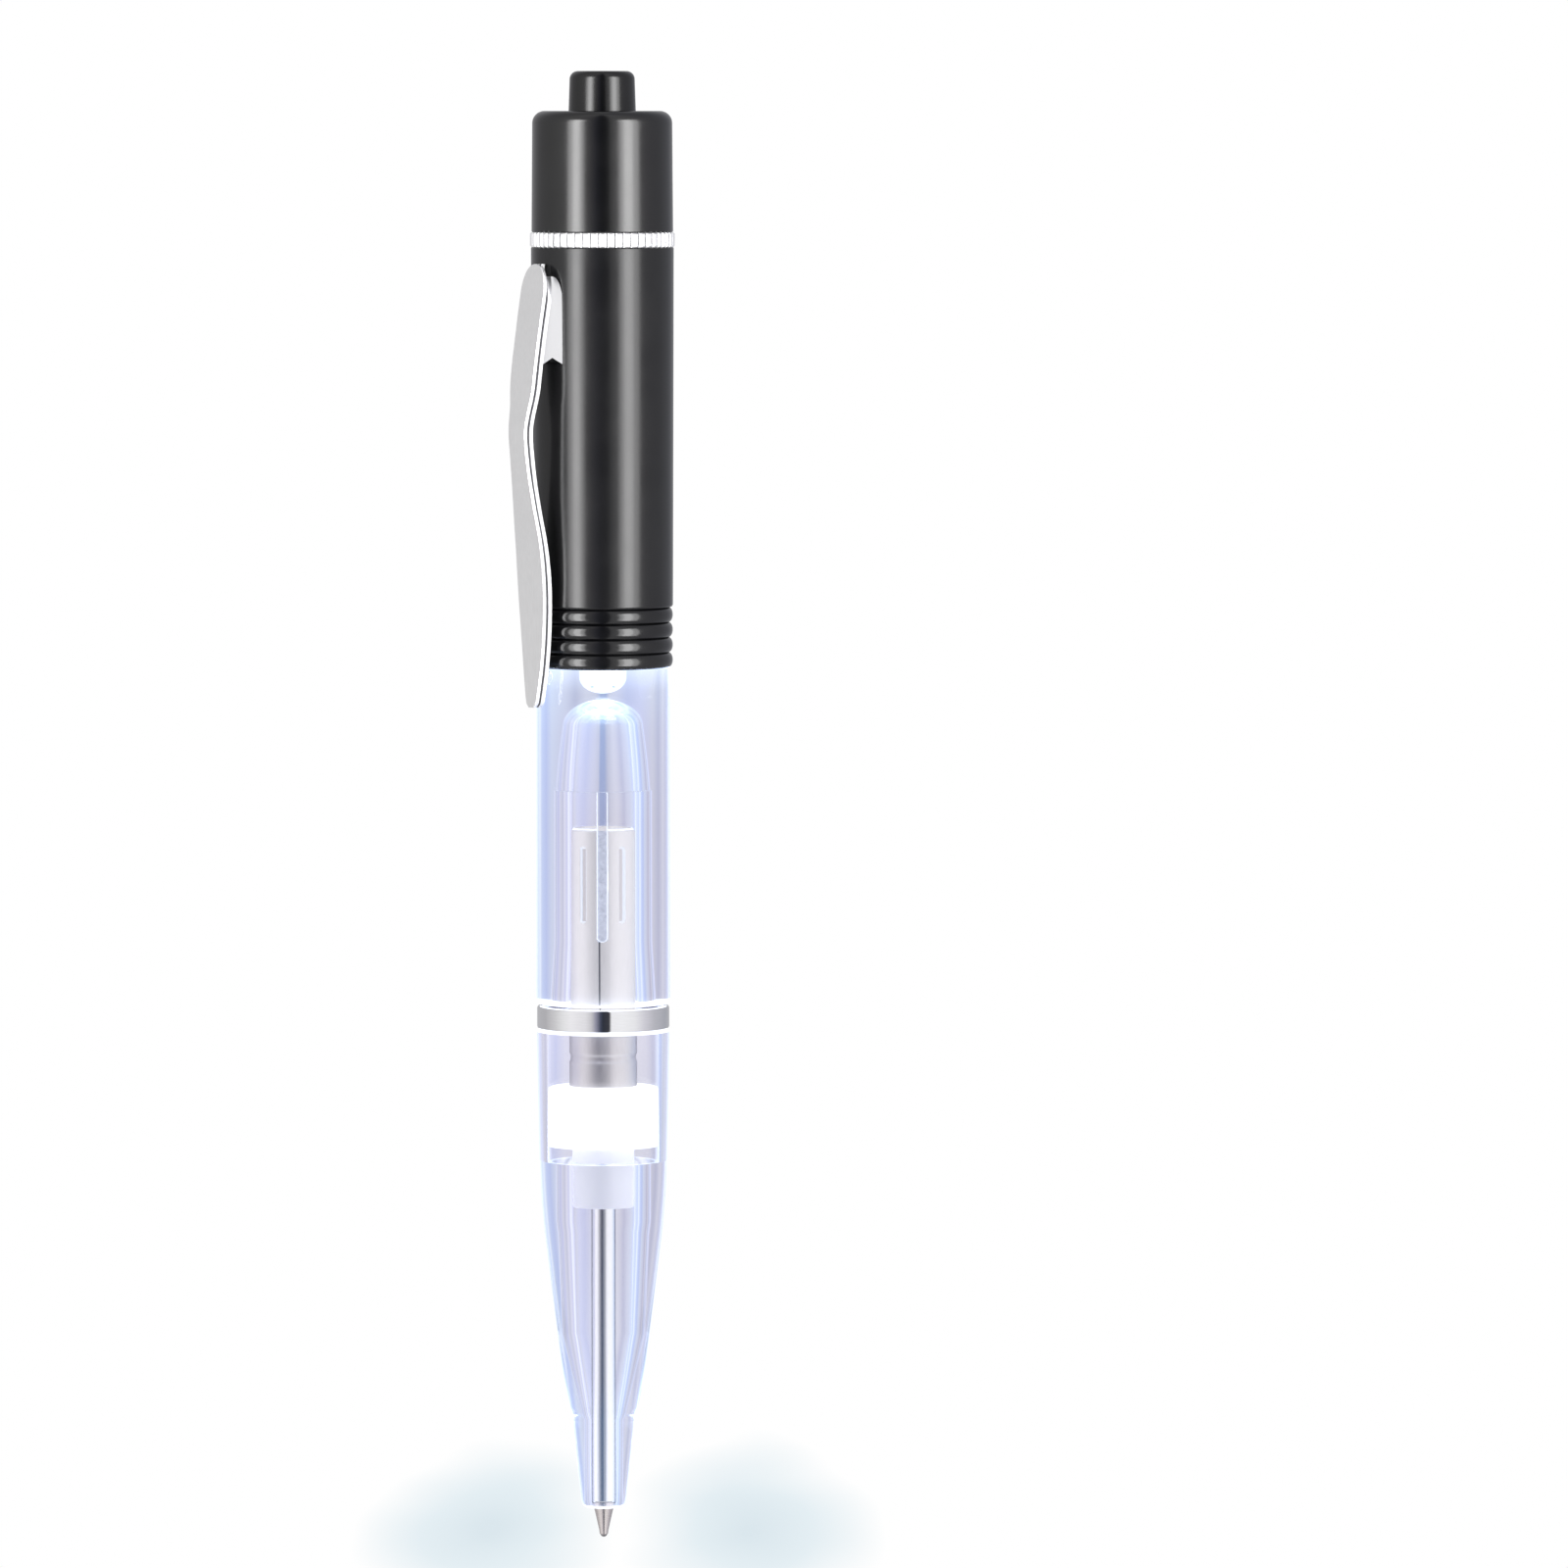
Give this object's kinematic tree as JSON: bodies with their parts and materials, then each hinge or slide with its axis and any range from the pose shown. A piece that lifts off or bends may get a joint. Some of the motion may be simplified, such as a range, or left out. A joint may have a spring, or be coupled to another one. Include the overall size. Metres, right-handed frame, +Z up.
{
  "type": "counterfeit detector pen",
  "caption": "Twist-action ballpoint with test ink, a clear lower body lit from inside, a black battery barrel with a push-button switch, and a pocket clip.",
  "frame": {"origin": "lowest point of the writing ball, on the pen's axis, with the refill out", "axes": "+Z up the axis from the point to the push button, -X towards the pocket clip, +Y completes the right-handed set"},
  "size_m": [0.0176, 0.0142, 0.1445],
  "materials": {
    "black_lacquer": "satin black lacquer over aluminium",
    "black_button": "satin black moulding",
    "clear_acrylic": "clear polished acrylic, faint blue",
    "satin_steel": "satin nickel-plated spring steel",
    "bright_nickel": "bright nickel plate, drawn",
    "chrome_trim": "bright chrome plate",
    "white_plastic": "white moulding",
    "white_collar": "white moulding, lit through",
    "milky_plastic": "milky translucent moulding",
    "lamp_epoxy": "water-clear lamp epoxy",
    "tinned_wire": "tinned wire",
    "board_laminate": "green lacquered board",
    "component_black": "matte black component body",
    "contact_brass": "plain brass",
    "insulating_film": "thin insulating film",
    "cell_can": "plated steel can",
    "switch_plastic": "dark grey moulding",
    "spring_wire": "bright spring wire",
    "refill_steel": "polished drawn tube",
    "test_ink": "brown test ink, wet",
    "nickel_silver": "turned nickel silver",
    "carbide_ball": "polished carbide"
  },
  "bodies": {
    "barrel": {"barrel_tube": "black_lacquer", "ribbed_collar": "black_lacquer", "light_barrel": "clear_acrylic", "clip_foot": "satin_steel", "mechanism_sleeve": "bright_nickel", "cam_sleeve": "white_plastic", "uv_lamp": "lamp_epoxy", "lamp_leads": "tinned_wire", "lamp_holder": "white_plastic", "lamp_board": "board_laminate", "resistor": "component_black", "cell_contact": "contact_brass", "cell_sleeve": "insulating_film", "cell_1": "cell_can", "cell_2": "cell_can", "cell_3": "cell_can"},
    "trim": {"trim_ring": "chrome_trim"},
    "head": {"head_cap": "black_lacquer", "switch_housing": "switch_plastic", "contact_post": "contact_brass", "cell_spring": "spring_wire", "button_spring": "spring_wire"},
    "button": {"push_button": "black_button", "switch_plunger": "white_plastic", "moving_contact": "contact_brass"},
    "clip": {"clip_arm": "satin_steel"},
    "twist": {"twist_collar": "white_collar"},
    "refill": {"refill_carrier": "milky_plastic", "carrier_pin": "spring_wire", "refill_tube": "refill_steel", "test_ink": "test_ink", "refill_plug": "white_plastic", "refill_point": "nickel_silver"},
    "ball": {"writing_ball": "carbide_ball"},
    "ring": {"centre_ring": "chrome_trim"},
    "nose": {"lower_barrel": "clear_acrylic"}
  },
  "joints": [
    {"name": "head_lift", "type": "slide", "parent": "barrel", "child": "trim", "axis": [0, 0, 1], "range_m": [0, 0.00375]},
    {"name": "head_turn", "type": "hinge", "parent": "trim", "child": "head", "pos_m": [0, 0, 0.1287], "axis": [0, 0, 1], "range_deg": [0, 1800]},
    {"name": "button_press", "type": "slide", "parent": "head", "child": "button", "axis": [0, 0, -1], "range_m": [0, 0.0015], "stiffness_N_per_m": 1500, "springref_m": -0.0005, "deforming": ["button_spring"]},
    {"name": "clip_flex", "type": "hinge", "parent": "barrel", "child": "clip", "pos_m": [-0.00972, 0, 0.11587], "axis": [0, 1, 0], "range_deg": [0, 5], "stiffness_Nm_per_rad": 1.35, "springref_deg": -1.72},
    {"name": "nose_twist", "type": "hinge", "parent": "barrel", "child": "twist", "pos_m": [0, 0, 0.0448], "axis": [0, 0, 1], "range_deg": [0, 180]},
    {"name": "refill_slide", "type": "slide", "parent": "twist", "child": "refill", "axis": [0, 0, 1], "range_m": [0, 0.0055]},
    {"name": "ball_roll", "type": "hinge", "parent": "refill", "child": "ball", "pos_m": [0, 0, 0.00035], "axis": [0, 1, 0], "continuous": true},
    {"name": "ring_drop", "type": "slide", "parent": "twist", "child": "ring", "axis": [0, 0, -1], "range_m": [0, 0.004]},
    {"name": "nose_turn", "type": "hinge", "parent": "ring", "child": "nose", "pos_m": [0, 0, 0.0448], "axis": [0, 0, -1], "range_deg": [0, 1440]}
  ],
  "couplings": [
    {"joint": "head_turn", "follows": "head_lift", "rad_per_m": 8377.6},
    {"joint": "nose_twist", "follows": "refill_slide", "rad_per_m": 571.2},
    {"joint": "nose_turn", "follows": "ring_drop", "rad_per_m": 6283.2}
  ]
}
